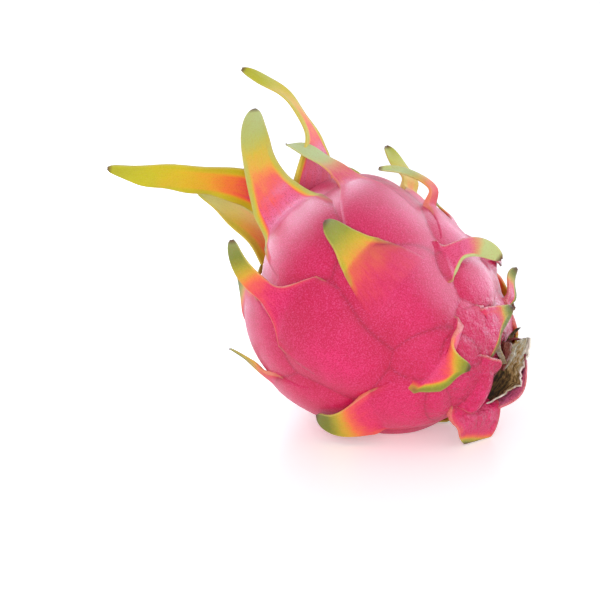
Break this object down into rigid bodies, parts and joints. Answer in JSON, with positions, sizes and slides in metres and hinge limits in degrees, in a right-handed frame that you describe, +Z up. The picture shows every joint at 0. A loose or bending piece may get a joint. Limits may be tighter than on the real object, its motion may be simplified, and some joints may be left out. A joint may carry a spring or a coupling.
{
  "type": "dragon fruit",
  "caption": "Whole red dragon fruit lying on its side, with fleshy pads, long leafy scales and the dried remnant of its cut stem.",
  "frame": {"origin": "middle of the flat spot the fruit rests on", "axes": "+Z up from the surface it rests on, -X towards the blossom end with the long scales, +X towards the stem end"},
  "size_m": [0.159, 0.1077, 0.1316],
  "materials": {
    "skin": "waxy satin pink skin, its scales running through orange and yellow to pale green tips",
    "dry_stem": "dry, matt, grey-brown and papery"
  },
  "bodies": {
    "root": {"fruit": "skin", "dry_stem": "dry_stem"}
  },
  "joints": []
}
